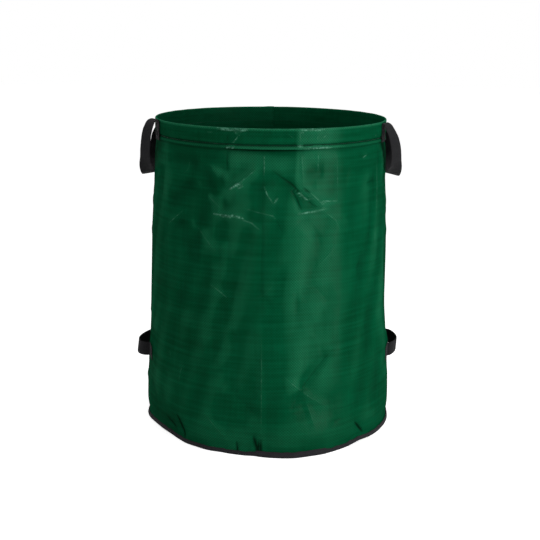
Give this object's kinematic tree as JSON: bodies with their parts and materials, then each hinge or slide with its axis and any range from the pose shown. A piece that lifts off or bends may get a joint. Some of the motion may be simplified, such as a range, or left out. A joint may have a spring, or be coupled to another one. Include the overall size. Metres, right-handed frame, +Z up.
{
  "type": "garden waste bag",
  "caption": "Round open-topped woven garden waste bag with a hooped rim, hanging webbing handles at the rim and short hand loops near its bound foot.",
  "frame": {"origin": "on the floor under the middle of the bag, which is the bottom centre of its box", "axes": "+Z up along the bag's own axis, +X towards the right-hand handles, -Y towards the front"},
  "size_m": [0.748, 0.6946, 0.8634],
  "materials": {
    "green_woven_fabric": "satin",
    "black_webbing": "matte",
    "black_tape": "matte",
    "hoop_plastic": "satin",
    "green_thread": "matte",
    "black_thread": "matte"
  },
  "bodies": {
    "bag": {"side_panel": "green_woven_fabric", "bottom_panel": "green_woven_fabric", "rim_hoop": "hoop_plastic", "base_binding": "black_tape", "hem_seam_thread": "green_thread", "base_seam_thread": "black_thread", "side_seam_thread": "green_thread", "top_handle_left_front_end": "black_webbing", "top_handle_left_front_stitches": "black_thread", "top_handle_left_rear_end": "black_webbing", "top_handle_left_rear_stitches": "black_thread", "top_handle_right_front_end": "black_webbing", "top_handle_right_front_stitches": "black_thread", "top_handle_right_rear_end": "black_webbing", "top_handle_right_rear_stitches": "black_thread", "lower_handle_left_front_end": "black_webbing", "lower_handle_left_front_stitches": "black_thread", "lower_handle_left_rear_end": "black_webbing", "lower_handle_left_rear_stitches": "black_thread", "lower_handle_right_front_end": "black_webbing", "lower_handle_right_front_stitches": "black_thread", "lower_handle_right_rear_end": "black_webbing", "lower_handle_right_rear_stitches": "black_thread"},
    "top_handle_left": {"top_handle_left_loop": "black_webbing"},
    "top_handle_right": {"top_handle_right_loop": "black_webbing"},
    "lower_handle_left": {"lower_handle_left_loop": "black_webbing"},
    "lower_handle_right": {"lower_handle_right_loop": "black_webbing"}
  },
  "joints": [
    {"name": "top_handle_left_swing", "type": "hinge", "parent": "bag", "child": "top_handle_left", "pos_m": [-0.31514, 0, 0.8594], "axis": [0, 1, 0], "range_deg": [0, 170]},
    {"name": "top_handle_right_swing", "type": "hinge", "parent": "bag", "child": "top_handle_right", "pos_m": [0.31514, 0, 0.8594], "axis": [0, -1, 0], "range_deg": [0, 170]},
    {"name": "lower_handle_left_lift", "type": "hinge", "parent": "bag", "child": "lower_handle_left", "pos_m": [-0.33803, 0, 0.227], "axis": [0, 1, 0], "range_deg": [0, 60]},
    {"name": "lower_handle_right_lift", "type": "hinge", "parent": "bag", "child": "lower_handle_right", "pos_m": [0.33803, 0, 0.227], "axis": [0, -1, 0], "range_deg": [0, 60]}
  ]
}
